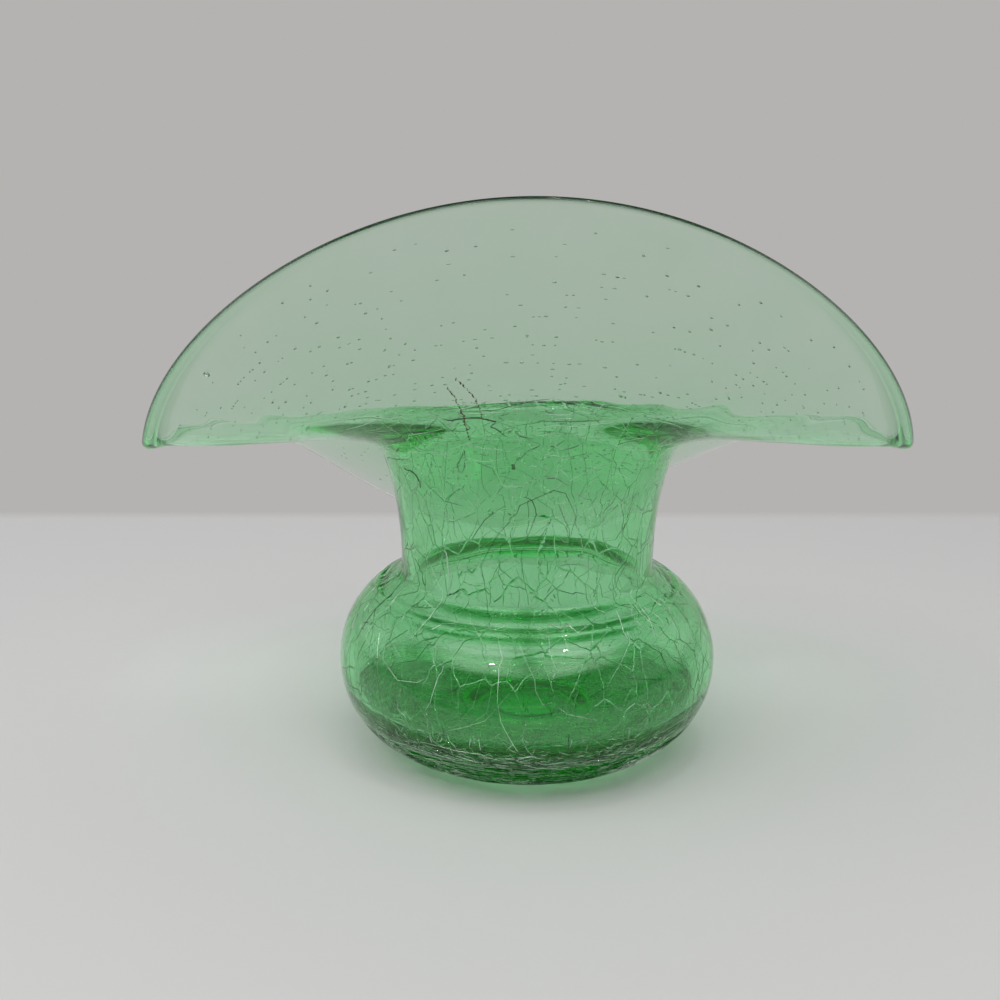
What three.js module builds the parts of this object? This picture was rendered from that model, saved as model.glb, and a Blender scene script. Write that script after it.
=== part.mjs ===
// Jack-in-the-pulpit vase of blown crackle glass: a squat bulb, a short neck and a round brim
// folded into a raised hood on one side and a turned-down lip on the other.
// The real vase is one piece of glass. The meshes below are its working zones, parted at the
// lines where the glassmaker worked it: the punty seal, the heel, the shoulder, the jack line
// under the neck, the start of the flare, the two side tips and the fire-polished edge.
// Millimetres, +Z up. The origin is on the axis at the standing plane. The hood is at -Y.

import * as THREE from 'three';
import { ParametricGeometry } from 'three/addons/geometries/ParametricGeometry.js';

// Driving dimensions of the blown body
const bulbRadius = 53.7; // widest outer radius of the bulb
const bulbCurve = 26.2; // radius of the bulb's round side, also the height of its widest ring
const jackLineRadius = 35.5; // outer radius where the jacks narrowed the neck
const jackLineHeight = 54;
const throatRadius = 37.4; // outer radius where the flare starts
const throatHeight = 76;
const wall = 4; // glass of bulb and neck
const floorHeight = 10; // lowest point of the inside floor
const bowlHeight = 20; // where the inside floor's bowl meets the wall
const bowlShare = 0.85; // how far out the bowl's curve is pulled down, as a share of its radius
const standRadius = 19; // inner edge of the flat standing ring
const kickRadius = 12.5; // flat roof of the kick-up under the base
const kickHeight = 3.5;
const pontilRadius = 10; // scar left by the punty rod
const pontilDrop = 2.3; // how far the scar stands down from the roof of the kick-up
const pontilCrown = 0.5;

// Driving dimensions of the folded brim
const tipReach = 107.5; // half width across the two side tips
const brimHeight = 84.3; // level of the brim behind the side tips
const hoodReach = 78.3; // how far the hood's edge leans out from the axis
const hoodHeight = 160.5;
const hoodDrawIn = 0.19; // share by which the hood's edge draws in towards its top
const hoodEase = 0.08; // softness of the hood's start at the side tips, as a sine of the turn
const lipSheet = 98; // axis to lip edge, measured over the bent sheet
const ridgeReach = 36; // straight ridge that the lip is bent over
const ridgeBend = 30; // bend radius at the ridge
const lipFall = THREE.MathUtils.degToRad(64); // slope of the lip below level
const lipSkew = 12.5; // sideways lean of the lip at its lowest point
const lipDrawIn = 0.4; // share by which the lip's edge draws in towards its lowest point
const lipDrawEase = 0.8; // power of the fall that the drawing in follows
const brimWall = 1.8;
const beadRadius = { side: 1.9, hood: 0.95, lip: 1 }; // rounded edge, thickest at the side tips
const beadEase = 3; // how soon the bead thins away from the tips

// The flare's curve is steered by two rings of control points: the corner over the neck and the
// fold further out. Heights are above the brim's level, reaches are from the axis.
const corner = { side: 41.4, hood: 42.5, lip: 41 };
const cornerRise = { side: 6.5, hood: 14, lip: 1.5 };
const cornerPull = 3; // how many times the curve counts the corner, so how tightly it turns there
const fold = { side: 80, hood: 57, lip: 60 };
const foldRise = { side: 0.5, hood: 42, lip: -3 };
const riseEase = { hood: 1.5, lip: 0.8 }; // how late a ring leaves its height at the sides

// Parting lines of the zones
const heelAngle = THREE.MathUtils.degToRad(-14); // on the bulb's round side, from level
const shoulderAngle = THREE.MathUtils.degToRad(30);
const jackAngle = THREE.MathUtils.degToRad(68);
const seam = 0.3; // parting gap between neighbouring zones

// Facets
const segments = 64; // round the axis
const arcSteps = 5; // along each arc of a profile
const sheetSteps = 11; // along the brim, neck to edge
const beadSides = 8;

const bulbRing = bulbRadius - bulbCurve; // axis to the centre of the round side

// Blown body

function sidePoint(radius, angle) {
  return new THREE.Vector2(bulbRing + radius * Math.cos(angle), bulbCurve + radius * Math.sin(angle));
}

function sideArc(radius, from, to) {
  return Array.from({ length: arcSteps + 1 }, (_, i) =>
    sidePoint(radius, from + ((to - from) * i) / arcSteps));
}

// A zone of the bulb's side between two parting lines: outer arc up, inner arc down.
function sideZone(from, to) {
  const half = seam / 2 / bulbCurve;
  const outer = sideArc(bulbCurve, from + half, to - half);
  const inner = sideArc(bulbCurve - wall, from + half, to - half).reverse();
  return [...outer, ...inner];
}

function revolve(profile, closed = true) {
  const points = closed ? [...profile, profile[0].clone()] : profile;
  return new THREE.LatheGeometry(points, segments).rotateX(Math.PI / 2);
}

function footGeometry() {
  const end = heelAngle - seam / 2 / bulbCurve;
  const innerRadius = bulbCurve - wall;
  const bowlAngle = -Math.asin((bulbCurve - bowlHeight) / innerRadius);
  const bowlEdge = sidePoint(innerRadius, bowlAngle);
  const bowl = new THREE.QuadraticBezierCurve(
    bowlEdge,
    new THREE.Vector2(bowlEdge.x * bowlShare, floorHeight),
    new THREE.Vector2(0, floorHeight));
  return revolve([
    new THREE.Vector2(0, kickHeight),
    new THREE.Vector2(kickRadius, kickHeight),
    new THREE.Vector2(standRadius, 0),
    ...sideArc(bulbCurve, -Math.PI / 2, end),
    ...sideArc(innerRadius, end, bowlAngle).slice(0, -1),
    ...bowl.getPoints(2 * arcSteps),
  ], false);
}

function pontilGeometry() {
  const top = kickHeight - seam;
  const rim = kickHeight - pontilDrop;
  const crown = new THREE.QuadraticBezierCurve(
    new THREE.Vector2(0, rim - pontilCrown),
    new THREE.Vector2(pontilRadius / 2, rim - pontilCrown),
    new THREE.Vector2(pontilRadius, rim));
  return revolve([
    ...crown.getPoints(arcSteps),
    new THREE.Vector2(pontilRadius, top),
    new THREE.Vector2(0, top),
  ], false);
}

// The neck starts at the jack line with a hollow curve off the shoulder and opens towards the throat.
function neckSide(inset) {
  const start = sidePoint(bulbCurve - inset, jackAngle + seam / 2 / bulbCurve);
  const waist = new THREE.Vector2(jackLineRadius - inset, jackLineHeight);
  const top = new THREE.Vector2(throatRadius - inset, throatHeight - seam / 2);
  const tangent = new THREE.Vector2(-Math.sin(jackAngle), Math.cos(jackAngle));
  const reach = (start.x - waist.x) / -tangent.x;
  const hollow = new THREE.QuadraticBezierCurve(
    start, start.clone().addScaledVector(tangent, reach), waist);
  const opening = new THREE.QuadraticBezierCurve(
    waist, new THREE.Vector2(waist.x, (waist.y + top.y) / 2), top);
  return [...hollow.getPoints(arcSteps), ...opening.getPoints(arcSteps).slice(1)];
}

function neckGeometry() {
  return revolve([...neckSide(0), ...neckSide(wall).reverse()]);
}

// Folded brim

// A ring of control points with its own reach and rise at the sides, under the hood and under the lip.
function controlRing(reach, rise, turn) {
  const sine = Math.sin(turn);
  const end = sine < 0 ? 'hood' : 'lip';
  const height = brimHeight + rise.side + (rise[end] - rise.side) * Math.abs(sine) ** riseEase[end];
  return new THREE.Vector3(reach.side * Math.cos(turn), reach[end] * sine, height);
}

// Where a point of the flat sheet, given by its distance from the axis, goes over the ridge.
function overRidge(distance) {
  const beyond = Math.max(0, distance - ridgeReach);
  const bend = Math.min(beyond / ridgeBend, lipFall);
  const straight = beyond - bend * ridgeBend;
  return {
    reach: Math.min(distance, ridgeReach) + ridgeBend * Math.sin(bend) + straight * Math.cos(lipFall),
    drop: ridgeBend * (1 - Math.cos(bend)) + straight * Math.sin(lipFall),
  };
}

const lipDrop = overRidge(lipSheet).drop;

// Share of the hood's full rise: nothing at the lip, all of it at the hood's top, soft at the tips.
function hoodShare(sine) {
  return (Math.hypot(sine, hoodEase) - sine) / (Math.hypot(1, hoodEase) + 1);
}

function edgePoint(turn) {
  const sine = Math.sin(turn);
  const across = tipReach * Math.cos(turn);
  const height = brimHeight + (hoodHeight - brimHeight) * hoodShare(sine);
  if (sine < 0) {
    return new THREE.Vector3(across * (1 + hoodDrawIn * sine), hoodReach * sine, height);
  }
  const { reach, drop } = overRidge(lipSheet * sine);
  const fall = drop / lipDrop;
  const drawn = across * (1 - lipDrawIn * fall ** lipDrawEase);
  return new THREE.Vector3(drawn - lipSkew * fall, reach, height - drop);
}

// Control points of one line of the outer skin, from the throat to the edge.
function skinControls(turn) {
  const start = new THREE.Vector3(throatRadius * Math.cos(turn), throatRadius * Math.sin(turn), throatHeight);
  return [
    start,
    ...Array(cornerPull).fill(controlRing(corner, cornerRise, turn)),
    controlRing(fold, foldRise, turn),
    edgePoint(turn),
  ];
}

// Point on the Bezier curve of any number of control points.
function bezierPoint(controls, along) {
  let layer = controls;
  while (layer.length > 1) {
    layer = layer.slice(1).map((next, i) => layer[i].clone().lerp(next, along));
  }
  return layer[0];
}

function skinPoint(turn, along) {
  return bezierPoint(skinControls(turn), along);
}

const probe = 1e-3; // step for slopes of the skin, as a turn and as a share of its line

// Direction along a line of the skin, towards the edge.
function outward(turn, along) {
  return skinPoint(turn, along + probe).sub(skinPoint(turn, along - probe)).normalize();
}

// Direction through the glass, from the outer skin to the inner one.
function inward(turn, along) {
  const sideways = skinPoint(turn + probe, along).sub(skinPoint(turn - probe, along));
  return sideways.cross(outward(turn, along)).normalize().negate();
}

function glassAt(along) {
  return wall + (brimWall - wall) * along;
}

function beadAt(turn) {
  const end = beadRadius[Math.sin(turn) < 0 ? 'hood' : 'lip'];
  return end + (beadRadius.side - end) * Math.abs(Math.cos(turn)) ** beadEase;
}

// The sheet stops short of the neck by half a seam and short of the edge by the bead.
function sheetSpan(turn) {
  const controls = skinControls(turn);
  const degree = controls.length - 1;
  const startSpeed = degree * controls[0].distanceTo(controls[1]);
  const endSpeed = degree * controls[degree - 1].distanceTo(controls[degree]);
  return [seam / 2 / startSpeed, 1 - (2 * beadAt(turn) + seam) / endSpeed];
}

function sheetPoint(turn, share, inner) {
  const [from, to] = sheetSpan(turn);
  const along = from + (to - from) * share;
  const point = skinPoint(turn, along);
  return inner ? point.addScaledVector(inward(turn, along), glassAt(along)) : point;
}

// Half of the brim as one closed sheet. Each slice runs up the outer skin and back down the inner
// one. The slices before the first and after the last close the ends along the middle of the glass.
function halfBrimGeometry(fromTurn) {
  const halfGap = seam / 2 / throatRadius;
  const turns = segments / 2;
  const slices = turns + 2;
  const stacks = 2 * (sheetSteps + 1);
  const loopPoint = (turn, index) => {
    const inner = index > sheetSteps;
    const step = inner ? 2 * sheetSteps + 1 - index : index;
    return sheetPoint(turn, step / sheetSteps, inner);
  };
  const surface = (u, v, target) => {
    const slice = Math.round(u * slices);
    const index = Math.round(v * stacks) % stacks;
    const share = Math.min(Math.max(slice - 1, 0), turns) / turns;
    const turn = fromTurn + halfGap + (Math.PI - 2 * halfGap) * share;
    const point = loopPoint(turn, index);
    const atEnd = slice === 0 || slice === slices;
    target.copy(atEnd ? point.lerp(loopPoint(turn, stacks - 1 - index), 0.5) : point);
  };
  return new ParametricGeometry(surface, slices, stacks);
}

// The fire-polished edge: a round bead that follows the brim's edge all the way round.
function beadGeometry() {
  const surface = (u, v, target) => {
    const turn = 2 * Math.PI * (Math.round(u * segments) % segments) / segments;
    const angle = 2 * Math.PI * (Math.round(v * beadSides) % beadSides) / beadSides;
    const radius = beadAt(turn);
    target.copy(edgePoint(turn))
      .addScaledVector(outward(turn, 1), radius * (Math.cos(angle) - 1))
      .addScaledVector(inward(turn, 1), brimWall / 2 + radius * Math.sin(angle));
  };
  return new ParametricGeometry(surface, segments, beadSides);
}

// Assembly

function glass(name, geometry, colour) {
  const material = new THREE.MeshStandardMaterial({ color: colour, roughness: 0.05, metalness: 0 });
  const mesh = new THREE.Mesh(geometry, material);
  mesh.name = name;
  return mesh;
}

const vase = new THREE.Group();
vase.add(
  glass('pontil_mark', pontilGeometry(), 0x5c8f6c),
  glass('foot', footGeometry(), 0x2f7a45),
  glass('bulb', revolve(sideZone(heelAngle, shoulderAngle)), 0x4b9a62),
  glass('shoulder', revolve(sideZone(shoulderAngle, jackAngle)), 0x6fae80),
  glass('neck', neckGeometry(), 0x7fb690),
  glass('hood', halfBrimGeometry(Math.PI), 0xa9c9b2),
  glass('lip', halfBrimGeometry(0), 0xa3c6ad),
  glass('rim_bead', beadGeometry(), 0x6d9a7a));

export default vase;
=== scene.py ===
"""Looks of the jack-in-the-pulpit vase: one blown piece of green crackle glass on a pale floor."""

import math

import bpy
import numpy as np
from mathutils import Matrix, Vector


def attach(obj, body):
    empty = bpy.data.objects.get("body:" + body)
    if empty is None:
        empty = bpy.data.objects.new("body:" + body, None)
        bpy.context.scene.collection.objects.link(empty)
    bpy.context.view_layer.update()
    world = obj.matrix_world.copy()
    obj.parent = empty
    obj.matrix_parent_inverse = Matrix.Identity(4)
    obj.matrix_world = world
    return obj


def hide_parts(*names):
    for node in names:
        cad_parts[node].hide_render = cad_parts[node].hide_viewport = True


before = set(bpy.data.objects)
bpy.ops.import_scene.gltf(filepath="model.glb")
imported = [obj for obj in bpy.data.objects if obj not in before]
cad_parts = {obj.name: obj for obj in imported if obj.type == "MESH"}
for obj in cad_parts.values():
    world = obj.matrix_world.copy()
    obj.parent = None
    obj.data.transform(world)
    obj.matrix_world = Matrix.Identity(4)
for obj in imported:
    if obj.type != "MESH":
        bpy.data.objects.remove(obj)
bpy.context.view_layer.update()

SEED = 20

# Blown body, in metres
BULB_RADIUS = 0.0537
BULB_CURVE = 0.0262  # radius of the round side, also the height of its widest ring
BULB_RING = BULB_RADIUS - BULB_CURVE
JACK_LINE_RADIUS = 0.0355  # narrowest ring of the neck
JACK_LINE_HEIGHT = 0.0540
JACK_ANGLE = math.radians(68)  # where the neck leaves the round side
RING_START = math.radians(44)
THROAT_RADIUS = 0.0374
THROAT_HEIGHT = 0.076
WALL = 0.0040
FLOOR_HEIGHT = 0.0135  # lowest point of the inside floor
BOWL_HEIGHT = 0.0195  # where the inside floor's bowl meets the wall
BOWL_SHARE = 0.85  # how far out the bowl's curve is pulled down, as a share of its radius
STAND_RADIUS = 0.019
KICK_RADIUS = 0.0125
KICK_HEIGHT = 0.0035
PONTIL_RADIUS = 0.010
PONTIL_DROP = 0.0023
PONTIL_SEAM = 0.0003

# Folded brim
TIP_REACH = 0.1075
BRIM_HEIGHT = 0.0843
HOOD_REACH = 0.0783
HOOD_HEIGHT = 0.1605
HOOD_DRAW_IN = 0.19
HOOD_EASE = 0.08
LIP_SHEET = 0.098  # axis to lip edge, over the bent sheet
RIDGE_REACH = 0.036
RIDGE_BEND = 0.030
LIP_FALL = math.radians(64)
LIP_SKEW = 0.0125
LIP_DRAW_IN = 0.4
LIP_DRAW_EASE = 0.8
BRIM_WALL = 0.0018
BEAD = {"side": 0.0019, "hood": 0.00095, "lip": 0.00012}  # radius of the rounded edge
BEAD_EASE = {"hood": 3, "lip": 12}
CORNER = {"side": 0.0414, "hood": 0.0425, "lip": 0.041}
CORNER_RISE = {"side": 0.0065, "hood": 0.014, "lip": 0.0015}
FOLD = {"side": 0.080, "hood": 0.057, "lip": 0.060}
FOLD_RISE = {"side": 0.0005, "hood": 0.042, "lip": -0.003}
RISE_EASE = {"hood": 1.5, "lip": 0.8}

# Mesh steps
COLUMNS = 320
ROW_STEP = 0.0016  # along the body
FINE_STEP = 0.0005  # over the jack rings
BRIM_ROWS = 48
BEAD_BLEND = 0.0025  # sheet that thickens towards the rounded edge
BEAD_ROWS = 12
BEAD_WRAP = math.radians(115)
FLOOR_ROWS = 24
SOFTEN_PASSES = 3

TURNS = np.arange(COLUMNS) * 2 * math.pi / COLUMNS


# Curves


def bezier(controls, shares):
    """Points on a Bezier curve. Each control is one point or a ring of points."""
    layers = [np.broadcast_to(c, (len(shares),) + np.shape(c)) for c in controls]
    weights = np.reshape(shares, np.shape(shares) + (1,) * (np.ndim(layers[0]) - np.ndim(shares)))
    while len(layers) > 1:
        layers = [a + (b - a) * weights for a, b in zip(layers, layers[1:])]
    return layers[0]


def curve_rows(controls, step=ROW_STEP):
    """A Bezier curve of the body's outline in even shares, about a row step apart."""
    length = sum(np.linalg.norm(np.subtract(b, a)) for a, b in zip(controls, controls[1:]))
    steps = max(2, round(length / step))
    return bezier([np.array(c) for c in controls], np.linspace(0, 1, steps + 1))


def side_point(radius, angle):
    return BULB_RING + radius * math.cos(angle), BULB_CURVE + radius * math.sin(angle)


def side_arc(radius, start, end, step=ROW_STEP):
    steps = round(abs(end - start) * radius / step)
    return np.array([side_point(radius, a) for a in np.linspace(start, end, steps + 1)])


# Outline of the blown body


def body_outline():
    """Outer outline from the kick-up to the throat, as rows of radius and height."""
    start = side_point(BULB_CURVE, JACK_ANGLE)
    waist = (JACK_LINE_RADIUS, JACK_LINE_HEIGHT)
    throat = (THROAT_RADIUS, THROAT_HEIGHT)
    reach = (start[0] - waist[0]) / math.sin(JACK_ANGLE)
    hollow = (waist[0], start[1] + reach * math.cos(JACK_ANGLE))
    stretches = [
        curve_rows([(ROW_STEP, KICK_HEIGHT), (KICK_RADIUS, KICK_HEIGHT)]),
        curve_rows([(KICK_RADIUS, KICK_HEIGHT), (STAND_RADIUS, 0)]),
        curve_rows([(STAND_RADIUS, 0), (BULB_RING, 0)]),
        side_arc(BULB_CURVE, -math.pi / 2, RING_START),
        side_arc(BULB_CURVE, RING_START, JACK_ANGLE, FINE_STEP),
        curve_rows([start, hollow, waist], FINE_STEP),
        curve_rows([waist, (waist[0], (waist[1] + throat[1]) / 2), throat]),
    ]
    return np.vstack([stretches[0]] + [s[1:] for s in stretches[1:]])


def revolve(outline):
    """The outline turned about the axis: rows by columns of points."""
    radius, height = outline[:, :1], outline[:, 1:]
    level = np.broadcast_to(height, (len(outline), COLUMNS))
    return np.stack([radius * np.cos(TURNS), radius * np.sin(TURNS), level], -1)


# Skin of the folded brim


def control_ring(reach, rise):
    sine = np.sin(TURNS)
    end_reach = np.where(sine < 0, reach["hood"], reach["lip"])
    end_rise = np.where(sine < 0, rise["hood"], rise["lip"])
    ease = np.where(sine < 0, RISE_EASE["hood"], RISE_EASE["lip"])
    height = BRIM_HEIGHT + rise["side"] + (end_rise - rise["side"]) * np.abs(sine) ** ease
    return np.stack([reach["side"] * np.cos(TURNS), end_reach * sine, height], -1)


def over_ridge(distance):
    """Reach and drop of a point of the flat sheet once it is bent over the ridge."""
    beyond = np.maximum(0, distance - RIDGE_REACH)
    bend = np.minimum(beyond / RIDGE_BEND, LIP_FALL)
    straight = beyond - bend * RIDGE_BEND
    reach = np.minimum(distance, RIDGE_REACH) + RIDGE_BEND * np.sin(bend) + straight * math.cos(LIP_FALL)
    drop = RIDGE_BEND * (1 - np.cos(bend)) + straight * math.sin(LIP_FALL)
    return reach, drop


def edge_ring():
    sine = np.sin(TURNS)
    across = TIP_REACH * np.cos(TURNS)
    hood_share = (np.hypot(sine, HOOD_EASE) - sine) / (math.hypot(1, HOOD_EASE) + 1)
    height = BRIM_HEIGHT + (HOOD_HEIGHT - BRIM_HEIGHT) * hood_share
    reach, drop = over_ridge(LIP_SHEET * np.maximum(sine, 0))
    fall = drop / over_ridge(LIP_SHEET)[1]
    hood = np.stack([across * (1 + HOOD_DRAW_IN * sine), HOOD_REACH * sine, height], -1)
    drawn = across * (1 - LIP_DRAW_IN * fall ** LIP_DRAW_EASE)
    lip = np.stack([drawn - LIP_SKEW * fall, reach, height - drop], -1)
    return np.where(sine[:, None] < 0, hood, lip)


def skin_controls():
    throat = np.stack([THROAT_RADIUS * np.cos(TURNS), THROAT_RADIUS * np.sin(TURNS),
                       np.full(COLUMNS, THROAT_HEIGHT)], -1)
    corner = control_ring(CORNER, CORNER_RISE)
    return [throat, corner, corner, corner, control_ring(FOLD, FOLD_RISE), edge_ring()]


# Glass as a grid of rows and columns


def unit(vectors):
    return vectors / np.linalg.norm(vectors, axis=-1, keepdims=True)


def soften(grid):
    """Rounds the corners between neighbouring stretches of the outline."""
    for _ in range(SOFTEN_PASSES):
        grid[1:-1] = (grid[:-2] + 2 * grid[1:-1] + grid[2:]) / 4
    return grid


def inward(grid):
    """Direction through the glass from the outer skin."""
    along = np.gradient(grid, axis=0)
    around = np.roll(grid, -1, 1) - np.roll(grid, 1, 1)
    return -unit(np.cross(around, along))


def bead_radius():
    sine = np.sin(TURNS)
    end = np.where(sine < 0, BEAD["hood"], BEAD["lip"])
    ease = np.where(sine < 0, BEAD_EASE["hood"], BEAD_EASE["lip"])
    return end + (BEAD["side"] - end) * np.abs(np.cos(TURNS)) ** ease


def sheet_end(controls):
    """Share of each skin line at which the sheet starts to thicken towards the edge."""
    speed = (len(controls) - 1) * np.linalg.norm(controls[-1] - controls[-2], axis=-1)
    return 1 - (2 * bead_radius() + BEAD_BLEND) / speed


def edge_bead(controls, across):
    """Rows round the fire-polished edge, from the outer skin to the inner one."""
    radius = bead_radius()[:, None]
    outward = unit(controls[-1] - controls[-2])
    centre = controls[-1] - radius * outward + across * BRIM_WALL / 2
    angles = np.linspace(-BEAD_WRAP, BEAD_WRAP, BEAD_ROWS)[:, None, None]
    return centre + radius * (np.cos(angles) * outward + np.sin(angles) * across)


def inner_floor(edge_radius):
    """Rows of the inside floor, from the wall to the axis."""
    outline = [(edge_radius, BOWL_HEIGHT), (edge_radius * BOWL_SHARE, FLOOR_HEIGHT), (0, FLOOR_HEIGHT)]
    shares = np.linspace(0, 1, FLOOR_ROWS + 1)[1:-1]
    return revolve(bezier([np.array(point) for point in outline], shares))


controls = skin_controls()
body = revolve(body_outline())
brim = bezier(controls, np.linspace(np.zeros(COLUMNS), sheet_end(controls), BRIM_ROWS + 1)[1:])
outer = soften(np.concatenate([body, brim]))
through = inward(outer)
body_rows = len(body)
brim_share = np.clip((np.arange(len(outer)) - body_rows) / BRIM_ROWS, 0, 1)
run = np.concatenate([[0], np.cumsum(np.linalg.norm(np.diff(outer, axis=0), axis=-1).mean(1))])


def run_at(angle):
    """Run along the skin at an angle of the bulb's round side."""
    return BULB_RING + (angle + math.pi / 2) * BULB_CURVE


def hump(middle, width):
    """A smooth rise of height 1 along the skin."""
    return np.exp(-((run - middle) / width) ** 2)


# Thickness of the glass, and the rings that the tools left

JACK_RUN = run_at(JACK_ANGLE)
JACK_SWELL = 0.0025  # extra glass inside, gathered under the shoulder where the neck was jacked in
JACK_SWELL_BELOW = 0.0085  # from the jack line down to the thickest place of the gather
JACK_SWELL_WIDTH = 0.0045
SWELL_SHARES = {"side": 0.15, "hood": 0.45, "lip": 1.0}  # how the gather varies round the axis
SWELL_EASE = 4
JACK_RINGS = [  # run from the jack line, width and height
    (-0.0058, 0.0008, -0.00030),
    (-0.0075, 0.0007, 0.00012),
    (-0.0088, 0.0007, -0.00015),
]
CREASE_SWELL = 0.002  # extra glass in the crease where the hood leaves the neck
CREASE_BEYOND = 0.012  # from the throat out to the crease
CREASE_WIDTH = 0.007
LIP_THIN = 0.9  # share by which the lip thins at its edge
LIP_THIN_EASE = 20
SIDE_FADE = 2  # how fast hood and lip take over from the two sides

throat_run = run[body_rows - 1]


def half_share(sine):
    """0 at the two sides and 1 over most of the half in which the sine is above 0."""
    return np.clip(SIDE_FADE * sine, 0, 1)


def jack_gather():
    sine = np.sin(TURNS)
    end = np.where(sine < 0, SWELL_SHARES["hood"], SWELL_SHARES["lip"])
    share = SWELL_SHARES["side"] + (end - SWELL_SHARES["side"]) * sine ** SWELL_EASE
    return JACK_SWELL * hump(JACK_RUN - JACK_SWELL_BELOW, JACK_SWELL_WIDTH)[:, None] * share


def crease_gather():
    share = half_share(-np.sin(TURNS))
    smooth = share ** 2 * (3 - 2 * share)
    return CREASE_SWELL * hump(throat_run + CREASE_BEYOND, CREASE_WIDTH)[:, None] * smooth


def glass_thickness():
    """Thickness at the rows and columns of the outer skin."""
    wall = (WALL + (BRIM_WALL - WALL) * brim_share)[:, None]
    thinned = LIP_THIN * brim_share[:, None] ** LIP_THIN_EASE * half_share(np.sin(TURNS))
    return wall * (1 - thinned) + jack_gather() + crease_gather()


thickness = glass_thickness()
tool_rings = sum(height * hump(JACK_RUN + place, width) for place, width, height in JACK_RINGS)


# Crackle: cracks that grow from weak spots over base, bulb, neck and the start of the brim

CRACKLE_RADIUS = 0.042  # radius at which lengths along and round the skin count alike
CRACKLE_ENDS = (0.020, 0.152)  # run along the skin where the crackle starts and stops
CRACKLE_FADE = 0.015
HEEL_TOP = (0.016, 0.024)  # height over which the heel's crackle gives way to that of the bulb
FINE_TOP = math.radians(-12)  # the finest cracks stay below this angle of the bulb's side
# the third kind is painted shade: near-black opaque slivers where cracks look dark
CRACK_KINDS = ["frosted_cracks", "mirror_cracks", "painted_shade_cracks"]
CRACK_SIZES = [
    # tries, usual length each way, squares kept free round a new spot, end of the run, share of each kind
    (9000, 0.0075, 2, CRACKLE_ENDS[1], [0.30, 0.35, 0.35]),
    (16000, 0.0018, 0, run_at(FINE_TOP), [0.5, 0.45, 0.05]),
]
CRACK_SPREAD = 0.55
CRACK_STEP = 0.0009
CRACK_CELL = 0.0009  # size of the squares in which cracks meet
CRACK_TURN = 0.025  # wander of the heading at each step, in radians
KINK_CHANCE = 0.2
KINK_TURN = (0.3, 0.9)

girth = 2 * math.pi * CRACKLE_RADIUS


def packing():
    """How many times closer the cracks lie along the skin than round it."""
    marks = [
        (run_at(math.radians(-75)), 1.2),
        (run_at(math.radians(-58)), 5.0),
        (run_at(math.radians(-34)), 4.0),
        (run_at(math.radians(-15)), 0.6),
        (run_at(math.radians(40)), 0.6),
        (throat_run - 0.020, 0.6),
        (throat_run - 0.004, 0.8),
        (throat_run + 0.008, 2.0),
        (throat_run + 0.014, 3.5),
    ]
    return np.interp(run, [m[0] for m in marks], [m[1] for m in marks])


level = np.concatenate([[0], np.cumsum(np.diff(run) * packing()[1:])])
crackle_low, crackle_high = np.interp(CRACKLE_ENDS, run, level)


def square(place):
    return int(place[0] % girth / CRACK_CELL), int(place[1] / CRACK_CELL)


def occupied(taken, place, room):
    across, up = square(place)
    span = range(-room, room + 1)
    return any((across + i, up + j) in taken for i in span for j in span)


def walk(start, heading, length, taken, rng):
    """One half of a crack, from its weak spot until it ends or meets an older crack."""
    places = []
    place = start
    for _ in range(round(length / CRACK_STEP)):
        heading += rng.normal(0, CRACK_TURN)
        if rng.random() < KINK_CHANCE:
            heading += rng.choice((-1, 1)) * rng.uniform(*KINK_TURN)
        place = place + CRACK_STEP * np.array([math.cos(heading), math.sin(heading)])
        if not crackle_low < place[1] < crackle_high:
            break
        places.append(place)
        if occupied(taken, place, 0):
            break
    return places


def grow_cracks(rng):
    """Lines of each kind of crack, as places round the axis and levels along the skin."""
    taken = set()
    lines = {name: [] for name in CRACK_KINDS}
    for tries, usual, room, end, shares in CRACK_SIZES:
        top = np.interp(end, run, level)
        for _ in range(tries):
            start = rng.uniform((0, crackle_low), (girth, top))
            heading = rng.uniform(0, math.pi)
            length = usual * rng.lognormal(0, CRACK_SPREAD)
            if occupied(taken, start, room):
                continue
            forth = walk(start, heading, length, taken, rng)
            back = walk(start, heading + math.pi, length, taken, rng)
            line = np.array(back[::-1] + [start] + forth)
            taken.update(square(place) for place in line)
            if len(line) > 2:
                lines[rng.choice(CRACK_KINDS, p=shares)].append(line)
    return lines


# Ripples of hand-worked glass

RIPPLE_WAVES = 24
RIPPLE_HEIGHT = 0.000012
RIPPLE_LENGTH = (0.010, 0.035)


def ripples(rng):
    """Unevenness of a skin over its rows and columns, as a sum of waves through space."""
    relief = np.zeros(outer.shape[:2])
    for _ in range(RIPPLE_WAVES):
        way = unit(rng.normal(size=3)) * 2 * math.pi / rng.uniform(*RIPPLE_LENGTH)
        relief += RIPPLE_HEIGHT * np.sin(outer @ way + rng.uniform(0, 2 * math.pi))
    return relief


# Meshes


def add_mesh(name, points, faces):
    mesh = bpy.data.meshes.new(name)
    mesh.from_pydata(points, [], faces)
    mesh.validate()
    mesh.polygons.foreach_set("use_smooth", [True] * len(mesh.polygons))
    piece = bpy.data.objects.new(name, mesh)
    bpy.context.scene.collection.objects.link(piece)
    return piece


def circle(radius, sides, height):
    turns = np.arange(sides) * 2 * math.pi / sides
    return [(radius * math.cos(a), radius * math.sin(a), height) for a in turns]


def grid_faces(rows, columns):
    """Quads of a grid whose columns close on themselves."""
    row, column = np.meshgrid(np.arange(rows - 1), np.arange(columns), indexing="ij")
    following = (column + 1) % columns
    corners = [row * columns + column, row * columns + following,
               (row + 1) * columns + following, (row + 1) * columns + column]
    return np.stack(corners, -1).reshape(-1, 4).tolist()


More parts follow.
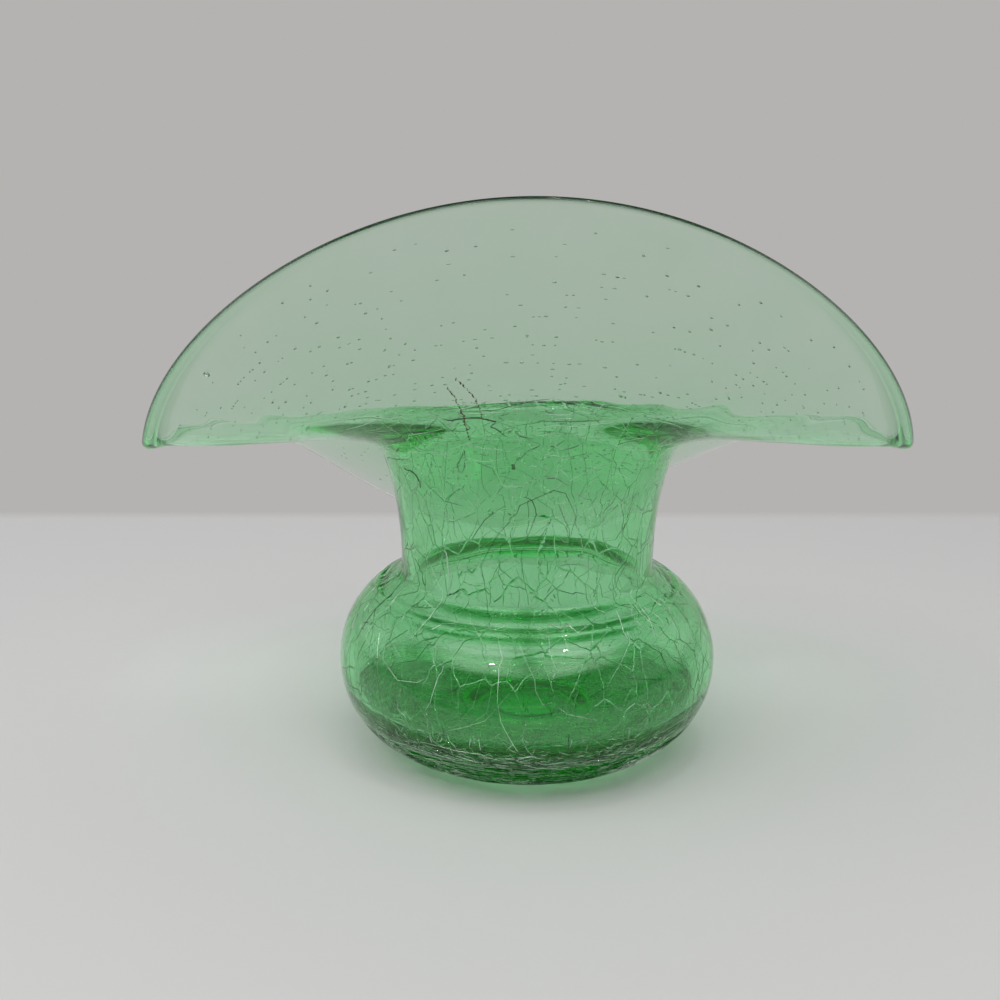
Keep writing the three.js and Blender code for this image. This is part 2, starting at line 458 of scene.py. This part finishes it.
def closed_faces(rows, columns):
    """Faces of a grid closed by a fan at each end, to two points that follow those of the grid."""
    start, end = rows * columns, rows * columns + 1
    top = (rows - 1) * columns
    faces = grid_faces(rows, columns)
    for column in range(columns):
        following = (column + 1) % columns
        faces.append([start, following, column])
        faces.append([top + column, top + following, end])
    return faces


def closed_grid(name, grid, first, last):
    points = np.vstack([grid.reshape(-1, 3), [first, last]])
    return add_mesh(name, points.tolist(), closed_faces(*grid.shape[:2]))


def vase_grid(outer_relief, inner_relief):
    """All rows of the glass: up the outer skin, round the edge, down the inner skin, over the floor."""
    outside = outer - through * (outer_relief + tool_rings[:, None])[..., None]
    inside = outer + through * (thickness + inner_relief)[..., None]
    floor_row = np.nonzero((inside[:, 0, 2] > BOWL_HEIGHT) & (run > BULB_RING))[0][0]
    inside = inside[floor_row:]
    bead = edge_bead(controls, through[-1])
    floor = inner_floor(inside[0, 0, 0])
    return np.concatenate([outside, bead, inside[::-1], floor])


PAINTED_EDGE_LINE = 0.55  # cosine of the turn of the bead at which its painted dark line starts
EDGE_RAMP = 3  # how fast the painted dark line deepens from there
EDGE_FAINT = 0.25  # share of the painted dark line that the lip keeps
EDGE_FADE = 3  # how fast the line gets there from the two sides


def mark_rows(piece, name, first, shares):
    """Marks the points of some rows of the glass with shares; all others have 0."""
    marks = np.zeros(len(piece.data.vertices))
    marks[first * COLUMNS:(first + len(shares)) * COLUMNS] = shares.ravel()
    piece.data.attributes.new(name, "FLOAT", "POINT").data.foreach_set("value", marks)


def mark_crackle_and_painted_edge(piece):
    """The finest crackle covers the outside of the body; the edge gets painted shade, a dark line towards its
    outermost side.
    """
    covered = np.clip((CRACKLE_ENDS[1] - run) / CRACKLE_FADE, 0, 1)
    mark_rows(piece, "crackle", 0, np.tile(covered[:, None], COLUMNS))
    turned = np.cos(np.linspace(-BEAD_WRAP, BEAD_WRAP, BEAD_ROWS))
    dark = np.clip((turned - PAINTED_EDGE_LINE) / (1 - PAINTED_EDGE_LINE) * EDGE_RAMP, 0, 1)
    kept = np.clip(1 - EDGE_FADE * np.sin(TURNS), EDGE_FAINT, 1)
    mark_rows(piece, "edge", len(outer), dark[:, None] * kept)


def skin_at(around, height):
    """Points of the outer skin and directions through the glass at places in the crackle."""
    row = np.interp(height, level, np.arange(len(level)))
    column = around / girth * COLUMNS
    low_row = np.clip(np.floor(row).astype(int), 0, len(level) - 2)
    low_column = np.floor(column).astype(int)
    row_share = (row - low_row)[:, None]
    column_share = (column - low_column)[:, None]

    def sample(grid):
        left, right = low_column % COLUMNS, (low_column + 1) % COLUMNS
        low = grid[low_row, left] * (1 - column_share) + grid[low_row, right] * column_share
        high = grid[low_row + 1, left] * (1 - column_share) + grid[low_row + 1, right] * column_share
        return low * (1 - row_share) + high * row_share

    return sample(outer), unit(sample(through))


CRACK_TRACE = (0.00008, 0.00024)  # width of a crack that lies open on the skin
CRACK_WALL = (0.00025, 0.0006)  # depth of a crack that goes down into the glass
WALL_SHARE = 0.65
WALL_TILT = (1.0, 1.9)  # turn of such a crack away from the skin
TILT_DRIFT = 0.05
CRACK_GAP = 0.00004
CRACK_TAPER = 0.25
CRACK_UNEVEN = (0.6, 1.0)


def fracture(line, rng):
    """One crack as a thin closed sliver on or under the skin: rings of four points along its line."""
    skin, depth_way = skin_at(line[:, 0], line[:, 1])
    aside = unit(np.cross(depth_way, np.gradient(skin, axis=0)))
    swell = np.sqrt(np.sin(math.pi * (np.arange(len(line)) + 0.5) / len(line)))
    taper = CRACK_TAPER + (1 - CRACK_TAPER) * swell
    deep = rng.random() < WALL_SHARE
    tilt = rng.uniform(*WALL_TILT) if deep else 0
    tilt = tilt + np.cumsum(rng.normal(0, TILT_DRIFT * deep, len(line)))
    size = rng.uniform(*(CRACK_WALL if deep else CRACK_TRACE)) * taper
    size = size * rng.uniform(*CRACK_UNEVEN, len(line))
    cosine, sine = np.cos(tilt)[:, None], np.sin(tilt)[:, None]
    way = aside * cosine + depth_way * sine
    gap = (depth_way * cosine - aside * sine) * (CRACK_GAP / 2 * taper)[:, None]
    far = skin + way * size[:, None]
    middle = (skin + far) / 2
    return np.stack([skin, middle + gap, far, middle - gap], 1)


def sliver_faces(stations, first):
    faces = [[first + i for i in face] for face in grid_faces(stations, 4)]
    last = first + 4 * (stations - 1)
    return faces + [[first + 3, first + 2, first + 1, first], [last, last + 1, last + 2, last + 3]]


def fractures(rng):
    """One piece for each kind of crack, by name."""
    pieces = {}
    for name, lines in grow_cracks(rng).items():
        points, faces = [], []
        for line in lines:
            rings = fracture(line, rng)
            faces += sliver_faces(len(rings), len(points))
            points += rings.reshape(-1, 3).tolist()
        pieces[name] = add_mesh(name, points, faces)
    return pieces


# Seeds: tiny bubbles drawn out along the brim

SEED_COUNT = 2200
SEED_LENGTH = (0.00025, 0.0006)
SEED_WIDTH = (0.00012, 0.00024)
SEED_REACH = (0.12, 0.97)  # share of the brim's rows over which they lie
SEED_DEPTH = (0.25, 0.75)  # share of the glass over which they lie
BALL_RINGS = 5
BALL_SIDES = 8


def ball():
    """Points and faces of a unit ball: rings with two poles."""
    angles = np.linspace(-math.pi / 2, math.pi / 2, BALL_RINGS + 2)[1:-1]
    rings = [circle(math.cos(a), BALL_SIDES, math.sin(a)) for a in angles]
    points = np.vstack(rings + [[(0, 0, -1), (0, 0, 1)]])
    return points, closed_faces(BALL_RINGS, BALL_SIDES)


def scatter(name, middles, axes):
    """One mesh of small balls, each stretched along its own three axes."""
    unit_points, unit_faces = ball()
    points, faces = [], []
    for middle, stretch in zip(middles, axes):
        faces += [[len(points) + i for i in face] for face in unit_faces]
        points += (middle + unit_points @ stretch).tolist()
    return add_mesh(name, points, faces)


def seeds(rng):
    middles, axes = [], []
    for _ in range(SEED_COUNT):
        row = int(body_rows + BRIM_ROWS * rng.uniform(*SEED_REACH))
        column = rng.integers(COLUMNS)
        way = through[row, column]
        around = unit(outer[row, (column + 1) % COLUMNS] - outer[row, column - 1])
        aside = np.cross(way, around)
        middles.append(outer[row, column] + way * thickness[row, column] * rng.uniform(*SEED_DEPTH))
        length = rng.uniform(*SEED_LENGTH)
        width = rng.uniform(*SEED_WIDTH)
        axes.append(np.stack([aside * width, way * width, around * length]))
    return scatter("seed_bubbles", middles, axes)


# Stained cracks in the hood, a large bubble, and the rough mark under the foot

STAINS = [  # places across and up the hood
    [(-0.0206, 0.1135), (-0.0187, 0.1110), (-0.0168, 0.1056), (-0.0152, 0.0984)],
    [(-0.0185, 0.1161), (-0.0159, 0.1134), (-0.0138, 0.1106), (-0.0126, 0.1078), (-0.0119, 0.1044)],
]
STAIN_STEP = 0.0005
STAIN_SIZE = (0.00010, 0.00028)
STAIN_STRAY = 0.00015
RING_BUBBLE = (-0.0820, 0.1131)
RING_BUBBLE_SIZE = 0.0009
PONTIL_RELIEF = 0.0005
PONTIL_SIDES = 48
PONTIL_RINGS = 8

hood_columns = np.nonzero(np.sin(TURNS) < 0)[0]
hood_skin = outer[body_rows:, hood_columns]


def hood_at(across, height):
    """Point of the hood's outer skin and direction through the glass, by place across and up."""
    off = np.hypot(hood_skin[..., 0] - across, hood_skin[..., 2] - height)
    row, column = np.unravel_index(off.argmin(), off.shape)
    way = through[body_rows + row, hood_columns[column]]
    skin = np.array([across, hood_skin[row, column, 1], height])
    return skin, way


def stained_cracks(rng):
    """Rows of brown specks in two cracks of the hood."""
    middles, axes = [], []
    for stain in STAINS:
        marks = np.array(stain)
        reach = np.concatenate([[0], np.cumsum(np.linalg.norm(np.diff(marks, axis=0), axis=1))])
        for place in np.arange(0, reach[-1], STAIN_STEP):
            across = np.interp(place, reach, marks[:, 0]) + rng.normal(0, STAIN_STRAY)
            height = np.interp(place, reach, marks[:, 1])
            skin, way = hood_at(across, height)
            size = rng.uniform(*STAIN_SIZE)
            middles.append(skin - way * size / 2)
            axes.append(size * np.eye(3))
    return scatter("stained_cracks", middles, axes)


def ring_bubble():
    skin, way = hood_at(*RING_BUBBLE)
    return scatter("ring_bubble", [skin + way * BRIM_WALL / 2], [RING_BUBBLE_SIZE * np.eye(3)])


def pontil_mark(rng):
    """The rough round scar inside the kick-up."""
    reach = np.linspace(1, 0, PONTIL_RINGS + 1)[:-1, None]
    turns = np.arange(PONTIL_SIDES) * 2 * math.pi / PONTIL_SIDES
    low = KICK_HEIGHT - PONTIL_SEAM - PONTIL_DROP
    relief = PONTIL_RELIEF * rng.random((PONTIL_RINGS, PONTIL_SIDES))
    face = np.stack([PONTIL_RADIUS * reach * np.cos(turns), PONTIL_RADIUS * reach * np.sin(turns),
                     low + relief], -1)
    top = face[:1].copy()
    top[..., 2] = KICK_HEIGHT - PONTIL_SEAM
    return closed_grid("rough_pontil", np.concatenate([top, face]),
                       (0, 0, KICK_HEIGHT - PONTIL_SEAM), (0, 0, low))


# Materials

STAIN_COLOUR = (0.10, 0.055, 0.02, 1)
STAIN_ROUGHNESS = 0.8
PONTIL_COLOUR = (0.14, 0.42, 0.22, 1)
PONTIL_ROUGHNESS = 0.35
GLASS_TINT = (0.12, 0.90, 0.32, 1)
GLASS_DENSITY = 140  # per metre
GLASS_IOR = 1.5
FROST_COLOUR = (0.80, 0.92, 0.83, 1)
FROST_ROUGHNESS = 0.3
MIRROR_COLOUR = (0.88, 0.95, 0.90, 1)
MIRROR_ROUGHNESS = 0.12
# painted shade: colour of the near-black slivers that stand in for cracks that look dark
CRACK_PAINTED_SHADE = (0.010, 0.035, 0.016, 1)
EDGE_PAINTED_SHADE = (0.006, 0.014, 0.008, 1)  # painted shade: base colour of the dark line along the brim's turned edge


def new_material(name):
    material = bpy.data.materials.new(name)
    material.use_nodes = True
    nodes = material.node_tree.nodes
    return material, nodes, material.node_tree.links, nodes["Principled BSDF"], nodes["Material Output"]


HAIRLINE_CELL = 0.008
HAIRLINE_SQUASH = (1, 1, 0.5)  # cells are twice as tall as they are wide
HAIRLINE_WIDTH = 0.00013
HAIRLINE_DEPTH = 0.00013
HAIRLINE_STEP = 1.5  # how far cells differ in level, in depths
HAIRLINE_WANDER = 0.003
HAIRLINE_DETAIL = 3
HEEL_CELL = 0.008
HEEL_SQUASH = (1, 1, 5)  # cells of the heel are this many times lower than they are wide


def groove(nodes, links, place, cell, squash):
    """Height of a skin broken into cells: grooves of depth 1 between cells at slightly different levels."""
    stretch = nodes.new("ShaderNodeVectorMath")
    stretch.operation = "MULTIPLY"
    stretch.inputs[1].default_value = squash
    links.new(place, stretch.inputs[0])
    cells = nodes.new("ShaderNodeTexVoronoi")
    cells.feature = "DISTANCE_TO_EDGE"
    cells.inputs["Scale"].default_value = 1 / cell
    links.new(stretch.outputs[0], cells.inputs["Vector"])
    line = nodes.new("ShaderNodeMapRange")
    line.inputs["From Max"].default_value = HAIRLINE_WIDTH / cell
    links.new(cells.outputs["Distance"], line.inputs["Value"])
    levels = nodes.new("ShaderNodeTexVoronoi")
    levels.inputs["Scale"].default_value = 1 / cell
    links.new(stretch.outputs[0], levels.inputs["Vector"])
    cell_level = nodes.new("ShaderNodeSeparateColor")
    links.new(levels.outputs["Color"], cell_level.inputs[0])
    height = nodes.new("ShaderNodeMath")
    height.operation = "MULTIPLY_ADD"
    height.inputs[1].default_value = HAIRLINE_STEP
    links.new(cell_level.outputs[0], height.inputs[0])
    links.new(line.outputs[0], height.inputs[2])
    return height.outputs[0]


def wander(nodes, links, place):
    """Places shifted a little, so that the cracks between cells aren't straight."""
    noise = nodes.new("ShaderNodeTexNoise")
    noise.inputs["Scale"].default_value = 1 / HAIRLINE_CELL
    noise.inputs["Detail"].default_value = HAIRLINE_DETAIL
    links.new(place, noise.inputs["Vector"])
    shift = nodes.new("ShaderNodeVectorMath")
    shift.operation = "MULTIPLY_ADD"
    shift.inputs[1].default_value = (HAIRLINE_WANDER,) * 3
    links.new(noise.outputs["Color"], shift.inputs[0])
    links.new(place, shift.inputs[2])
    return shift.outputs[0]


def above_heel(nodes, links, place):
    """0 at the heel and 1 above it."""
    parts = nodes.new("ShaderNodeSeparateXYZ")
    links.new(place, parts.inputs[0])
    share = nodes.new("ShaderNodeMapRange")
    share.inputs["From Min"].default_value = HEEL_TOP[0]
    share.inputs["From Max"].default_value = HEEL_TOP[1]
    links.new(parts.outputs["Z"], share.inputs["Value"])
    return share.outputs[0]


def hairlines(nodes, links):
    """Normal of the finest cracks: grooves between uneven cells, up to the start of the brim."""
    place = nodes.new("ShaderNodeTexCoord").outputs["Object"]
    shifted = wander(nodes, links, place)
    line = nodes.new("ShaderNodeMix")
    links.new(above_heel(nodes, links, place), line.inputs["Factor"])
    links.new(groove(nodes, links, shifted, HEEL_CELL, HEEL_SQUASH), line.inputs["A"])
    links.new(groove(nodes, links, shifted, HAIRLINE_CELL, HAIRLINE_SQUASH), line.inputs["B"])
    reach = nodes.new("ShaderNodeAttribute")
    reach.attribute_name = "crackle"
    bump = nodes.new("ShaderNodeBump")
    bump.inputs["Distance"].default_value = HAIRLINE_DEPTH
    links.new(reach.outputs["Fac"], bump.inputs["Strength"])
    links.new(line.outputs[0], bump.inputs["Height"])
    return bump.outputs["Normal"]


def green_glass():
    material, nodes, links, shader, output = new_material("green_glass")
    edge = nodes.new("ShaderNodeAttribute")
    edge.attribute_name = "edge"
    # painted shade: the edge mark darkens the glass's base colour towards the bead's outermost line
    shade = nodes.new("ShaderNodeMix")
    shade.data_type = "RGBA"
    shade.inputs["A"].default_value = (1, 1, 1, 1)
    shade.inputs["B"].default_value = EDGE_PAINTED_SHADE
    links.new(edge.outputs["Fac"], shade.inputs["Factor"])
    links.new(shade.outputs["Result"], shader.inputs["Base Color"])
    shader.inputs["Roughness"].default_value = 0
    shader.inputs["IOR"].default_value = GLASS_IOR
    shader.inputs["Transmission Weight"].default_value = 1
    links.new(hairlines(nodes, links), shader.inputs["Normal"])
    tint = nodes.new("ShaderNodeVolumeAbsorption")
    tint.inputs["Color"].default_value = GLASS_TINT
    tint.inputs["Density"].default_value = GLASS_DENSITY
    links.new(tint.outputs["Volume"], output.inputs["Volume"])
    return material


def plain_material(name, colour, roughness, metallic=0):
    material, _, _, shader, _ = new_material(name)
    shader.inputs["Base Color"].default_value = colour
    shader.inputs["Roughness"].default_value = roughness
    shader.inputs["Metallic"].default_value = metallic
    return material


def void():
    """The air in bubbles, seen from inside the glass."""
    material, nodes, links, shader, output = new_material("air_in_glass")
    nodes.remove(shader)
    air = nodes.new("ShaderNodeBsdfGlass")
    air.inputs["Color"].default_value = (1, 1, 1, 1)
    air.inputs["Roughness"].default_value = 0
    air.inputs["IOR"].default_value = 1 / GLASS_IOR
    links.new(air.outputs["BSDF"], output.inputs["Surface"])
    return material


# Stage

BACKDROP = (0.46, 0.45, 0.44, 1)
FLOOR_COLOUR = (0.70, 0.69, 0.69, 1)
FLOOR_RADIUS = 3.0
FLOOR_SIDES = 96
FLOOR_LEVEL = -0.0002  # just under the vase and the cards
FLOOR_ROUGHNESS = 0.6
TABLE_REACH = (0.42, 0.230)  # half width and half depth of the pale table top
TABLE_EDGE = 0.025


def shown_ray(nodes, links):
    """1 for rays that show the background: straight from the camera, mirrored or through glass."""
    path = nodes.new("ShaderNodeLightPath")
    first = nodes.new("ShaderNodeMath")
    first.operation = "MAXIMUM"
    links.new(path.outputs["Is Camera Ray"], first.inputs[0])
    links.new(path.outputs["Is Glossy Ray"], first.inputs[1])
    second = nodes.new("ShaderNodeMath")
    second.operation = "MAXIMUM"
    links.new(first.outputs[0], second.inputs[0])
    links.new(path.outputs["Is Transmission Ray"], second.inputs[1])
    return second.outputs[0]


def beyond_table(nodes, links):
    """0 on the table top and 1 beyond its edge."""
    place = nodes.new("ShaderNodeTexCoord")
    scale = nodes.new("ShaderNodeVectorMath")
    scale.operation = "DIVIDE"
    scale.inputs[1].default_value = (*TABLE_REACH, 1)
    links.new(place.outputs["Object"], scale.inputs[0])
    size = nodes.new("ShaderNodeVectorMath")
    size.operation = "ABSOLUTE"
    links.new(scale.outputs[0], size.inputs[0])
    parts = nodes.new("ShaderNodeSeparateXYZ")
    links.new(size.outputs[0], parts.inputs[0])
    reach = nodes.new("ShaderNodeMath")
    reach.operation = "MAXIMUM"
    links.new(parts.outputs["X"], reach.inputs[0])
    links.new(parts.outputs["Y"], reach.inputs[1])
    edge = nodes.new("ShaderNodeMapRange")
    edge.inputs["From Min"].default_value = 1 - TABLE_EDGE
    edge.inputs["From Max"].default_value = 1 + TABLE_EDGE
    links.new(reach.outputs[0], edge.inputs["Value"])
    return edge.outputs[0]


def floor_material():
    """A pale table top that gives way to the colour of the backdrop."""
    material, nodes, links, shader, output = new_material("pale_floor")
    shader.inputs["Base Color"].default_value = FLOOR_COLOUR
    shader.inputs["Roughness"].default_value = FLOOR_ROUGHNESS
    wall = nodes.new("ShaderNodeEmission")
    wall.inputs["Color"].default_value = BACKDROP
    mix = nodes.new("ShaderNodeMixShader")
    links.new(beyond_table(nodes, links), mix.inputs[0])
    links.new(shader.outputs[0], mix.inputs[1])
    links.new(wall.outputs[0], mix.inputs[2])
    links.new(mix.outputs[0], output.inputs["Surface"])
    return material


CARD_REACH = (0.5, 0.145, 0.7)  # half width, near edge and far edge, in front of the vase
BASE_CARD = 0.050  # radius of the painted shade under the vase
HEEL_CARD = 0.014  # width of the darkest painted shade in front, under the heel
FRONT_CARD_LEVEL = 0.002
BASE_CARD_LEVEL = -0.00015
HEEL_CARD_LEVEL = -0.0001
CARD_SIDES = 48
CARD_ROUGHNESS = 0.9
# painted shade: colours of the cards that only the glass shows
PAINTED_SHADE_BLACK = (0.02, 0.02, 0.02, 1)
PAINTED_SHADE_GREY = (0.35, 0.35, 0.35, 1)


def painted_shade_card(name, colour, corners, faces):
    """A dark card on the table that only the glass shows: painted shade in what the glass shows."""
    card = add_mesh(name, corners, faces)
    card.data.materials.append(plain_material(name, colour, CARD_ROUGHNESS))
    card.visible_camera = False
    card.visible_diffuse = False
    card.visible_shadow = False
    return card


def painted_dark_reflection_card():
    """Painted dark reflection: a black card in front, seen only in mirrored rays, keeps pale mirror images of
    the table off the bulb.
    """
    across, near, far = CARD_REACH
    outline = [(-across, -far), (across, -far), (across, -near), (-across, -near)]
    corners = [(x, y, FRONT_CARD_LEVEL) for x, y in outline]
    card = painted_shade_card("painted_dark_reflection_card", PAINTED_SHADE_BLACK, corners, [[0, 1, 2, 3]])
    card.visible_transmission = False


def painted_base_shade():
    """Painted shade under the vase: a grey card, and a black one where it is deepest, in front under the
    heel.
    """
    ring = circle(BASE_CARD, CARD_SIDES, BASE_CARD_LEVEL)
    painted_shade_card("painted_base_shade_card", PAINTED_SHADE_GREY, ring, [list(range(CARD_SIDES))])
    corners = []
    for turn in np.linspace(math.pi, 2 * math.pi, CARD_SIDES + 1):
        for radius in (BASE_CARD + HEEL_CARD * math.sin(turn), BASE_CARD):
            corners.append((radius * math.cos(turn), radius * math.sin(turn), HEEL_CARD_LEVEL))
    faces = [[2 * i, 2 * i + 1, 2 * i + 3, 2 * i + 2] for i in range(CARD_SIDES)]
    painted_shade_card("painted_heel_shade_card", PAINTED_SHADE_BLACK, corners, faces)


SHADOW_TINT = (0.80, 0.90, 0.83, 1)  # lamp light left after each wall of the vase


def tinted_shadow():
    """The vase's skin as a thin filter that lamp light alone meets, so that the shadow is soft and green."""
    skin = add_mesh("tinted_shadow", outer.reshape(-1, 3).tolist(), grid_faces(len(outer), COLUMNS))
    material, nodes, links, shader, output = new_material("tinted_shadow")
    nodes.remove(shader)
    filter_node = nodes.new("ShaderNodeBsdfTransparent")
    filter_node.inputs["Color"].default_value = SHADOW_TINT
    links.new(filter_node.outputs["BSDF"], output.inputs["Surface"])
    skin.data.materials.append(material)
    skin.visible_camera = False
    skin.visible_diffuse = False
    skin.visible_glossy = False
    skin.visible_transmission = False


def make_stage():
    floor = add_mesh("floor", circle(FLOOR_RADIUS, FLOOR_SIDES, 0), [list(range(FLOOR_SIDES))])
    floor.location.z = FLOOR_LEVEL
    floor.data.materials.append(floor_material())
    painted_dark_reflection_card()
    painted_base_shade()
    tinted_shadow()


# World

AMBIENT = (0.42, 0.42, 0.42, 1)
CEILING = (0.12, 0.12, 0.12, 1)
ROOM_DEPTH = (-0.1, 0.8)  # mirrored, the backdrop darkens towards the room behind the camera
ROOM_SHADE = 0.12
BACKDROP_TOP = (math.radians(32), math.radians(60))  # the pale backdrop fades into the dark ceiling
GLOW = 3.2
GLOW_RISE = (0.50, 0.70)  # the lit ceiling starts at these heights of the direction
GLOW_FRONT = (0.0, -0.45)  # and grows towards the room behind the camera
GLOW_SIDE = (-0.12, 0.34)  # and from the middle towards both sides
WINDOW = 0.7
WINDOW_SIDE = (0.60, 0.92)  # the windows lie to the left and right
WINDOW_FOOT = (0.0, 0.15)
WINDOW_HEAD = (0.60, 0.45)


def patch(nodes, links, strength, ramps):
    """A soft bright patch of the world: the product of ramps over parts of the direction."""
    bright = None
    for part, ends in ramps:
        ramp = nodes.new("ShaderNodeMapRange")
        ramp.interpolation_type = "SMOOTHSTEP"
        ramp.inputs["From Min"].default_value = ends[0]
        ramp.inputs["From Max"].default_value = ends[1]
        links.new(part, ramp.inputs["Value"])
        product = nodes.new("ShaderNodeMath")
        product.operation = "MULTIPLY"
        product.inputs[1].default_value = strength
        links.new(ramp.outputs[0], product.inputs[0])
        if bright:
            links.new(bright, product.inputs[1])
        bright = product.outputs[0]
    return bright


def room_lights(nodes, links, parts):
    """Brightness of the lit ceiling in front and of the windows at both sides, which the glass mirrors."""
    sideways = nodes.new("ShaderNodeMath")
    sideways.operation = "ABSOLUTE"
    links.new(parts.outputs["X"], sideways.inputs[0])
    height = parts.outputs["Z"]
    ceiling = patch(nodes, links, GLOW,
                    [(parts.outputs["Y"], GLOW_FRONT), (height, GLOW_RISE), (sideways.outputs[0], GLOW_SIDE)])
    windows = patch(nodes, links, WINDOW,
                    [(sideways.outputs[0], WINDOW_SIDE), (height, WINDOW_FOOT), (height, WINDOW_HEAD)])
    both = nodes.new("ShaderNodeMath")
    links.new(ceiling, both.inputs[0])
    links.new(windows, both.inputs[1])
    return both.outputs[0]


def backdrop_colour(nodes, links, parts):
    rise = nodes.new("ShaderNodeMapRange")
    rise.inputs["From Min"].default_value = math.sin(BACKDROP_TOP[0])
    rise.inputs["From Max"].default_value = math.sin(BACKDROP_TOP[1])
    links.new(parts.outputs["Z"], rise.inputs["Value"])
    shade = nodes.new("ShaderNodeMix")
    shade.data_type = "RGBA"
    shade.inputs["A"].default_value = BACKDROP
    shade.inputs["B"].default_value = CEILING
    links.new(rise.outputs[0], shade.inputs["Factor"])
    return shade.outputs["Result"]


def room_shade(nodes, links, parts):
    """Strength of the backdrop: 1, but in mirrored rays it falls off towards the camera's side."""
    depth = nodes.new("ShaderNodeMapRange")
    depth.inputs["From Min"].default_value = ROOM_DEPTH[0]
    depth.inputs["From Max"].default_value = ROOM_DEPTH[1]
    depth.inputs["To Min"].default_value = ROOM_SHADE
    links.new(parts.outputs["Y"], depth.inputs["Value"])
    path = nodes.new("ShaderNodeLightPath")
    mirrored = nodes.new("ShaderNodeMix")
    mirrored.inputs["A"].default_value = 1
    links.new(path.outputs["Is Glossy Ray"], mirrored.inputs["Factor"])
    links.new(depth.outputs[0], mirrored.inputs["B"])
    return mirrored.outputs[0]


def make_world():
    world = bpy.data.worlds.new("studio")
    world.use_nodes = True
    nodes, links = world.node_tree.nodes, world.node_tree.links
    place = nodes.new("ShaderNodeTexCoord")
    parts = nodes.new("ShaderNodeSeparateXYZ")
    links.new(place.outputs["Generated"], parts.inputs[0])
    backdrop = nodes["Background"]
    links.new(backdrop_colour(nodes, links, parts), backdrop.inputs["Color"])
    links.new(room_shade(nodes, links, parts), backdrop.inputs["Strength"])
    glow = nodes.new("ShaderNodeBackground")
    links.new(room_lights(nodes, links, parts), glow.inputs["Strength"])
    shown = nodes.new("ShaderNodeAddShader")
    links.new(backdrop.outputs[0], shown.inputs[0])
    links.new(glow.outputs[0], shown.inputs[1])
    ambient = nodes.new("ShaderNodeBackground")
    ambient.inputs["Color"].default_value = AMBIENT
    mix = nodes.new("ShaderNodeMixShader")
    links.new(shown_ray(nodes, links), mix.inputs[0])
    links.new(ambient.outputs[0], mix.inputs[1])
    links.new(shown.outputs[0], mix.inputs[2])
    links.new(mix.outputs[0], nodes["World Output"].inputs["Surface"])
    bpy.context.scene.world = world


# Lamps

LAMP_TARGET = (0, 0, 0.06)
LAMPS = [  # name, place, width and height, watts
    ("ceiling_light", (-0.25, -0.55, 1.07), (2.6, 1.0), 10),
    ("window_lamp", (-0.4, -0.8, 0.9), (0.06, 0.03), 0.35),
    ("right_lamp", (0.35, -0.5, 1.0), (0.05, 0.03), 0.3),
    ("high_lamp", (0.15, -0.25, 1.3), (0.10, 0.05), 0.6),
]


def softbox(name, place, size, power):
    light = bpy.data.lights.new(name, "AREA")
    light.shape = "ELLIPSE"
    light.size, light.size_y = size
    light.energy = power
    lamp = bpy.data.objects.new(name, light)
    lamp.location = place
    lamp.rotation_mode = "QUATERNION"
    lamp.rotation_quaternion = (Vector(LAMP_TARGET) - Vector(place)).to_track_quat("-Z", "Y")
    bpy.context.scene.collection.objects.link(lamp)
    return lamp


def make_lights():
    lamps = {lamp[0]: softbox(*lamp) for lamp in LAMPS}
    lamps["ceiling_light"].visible_glossy = False


# Camera

CAMERA_PLACE = (-0.0077, -0.4062, 0.1855)
CAMERA_PITCH = math.radians(15.7)  # below level
CAMERA_LENS = 54  # millimetres
SENSOR_WIDTH = 36  # millimetres
NEAREST_SEEN = 0.01


def make_camera():
    data = bpy.data.cameras.new("photo_camera")
    data.lens = CAMERA_LENS
    data.sensor_width = SENSOR_WIDTH
    data.clip_start = NEAREST_SEEN
    camera = bpy.data.objects.new("photo_camera", data)
    camera.location = CAMERA_PLACE
    camera.rotation_euler = (math.pi / 2 - CAMERA_PITCH, 0, 0)
    bpy.context.scene.collection.objects.link(camera)
    bpy.context.scene.camera = camera


GLASS_BOUNCES = 40


def set_render():
    scene = bpy.context.scene
    scene.view_settings.view_transform = "Standard"
    scene.cycles.max_bounces = GLASS_BOUNCES
    scene.cycles.transmission_bounces = GLASS_BOUNCES
    scene.cycles.glossy_bounces = GLASS_BOUNCES


def add_piece(piece, material, slot, *nodes):
    """Dresses a piece and fixes it to the vase, in place of the nodes named."""
    piece.data.materials.append(material)
    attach(piece, "root")
    if nodes:
        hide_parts(*nodes)


# The whole scene

make_camera()
set_render()
make_world()
make_lights()
make_stage()

rng = np.random.default_rng(SEED)
grid = vase_grid(ripples(rng), ripples(rng))
vase = closed_grid("vase_glass", grid, (0, 0, KICK_HEIGHT), (0, 0, FLOOR_HEIGHT))
mark_crackle_and_painted_edge(vase)
vase.visible_shadow = False  # its shadow is that of the tinted skin

air = void()
add_piece(vase, green_glass(), "crackle_glass", "foot", "bulb", "shoulder", "neck", "hood", "lip", "rim_bead")
add_piece(pontil_mark(rng), plain_material("broken_glass", PONTIL_COLOUR, PONTIL_ROUGHNESS), "pontil_glass",
          "pontil_mark")
crack_looks = {
    "frosted_cracks": plain_material("frosted_crack", FROST_COLOUR, FROST_ROUGHNESS),
    "mirror_cracks": plain_material("mirror_crack", MIRROR_COLOUR, MIRROR_ROUGHNESS, metallic=1),
    # painted shade: the dark cracks are near-black opaque slivers
    "painted_shade_cracks": plain_material("painted_shade_crack", CRACK_PAINTED_SHADE, FROST_ROUGHNESS),
}
for name, piece in fractures(rng).items():
    add_piece(piece, crack_looks[name], "crackle_glass")
add_piece(seeds(rng), air, "brim_glass")
add_piece(ring_bubble(), air, "brim_glass")
add_piece(stained_cracks(rng), plain_material("stain", STAIN_COLOUR, STAIN_ROUGHNESS), "brim_glass")
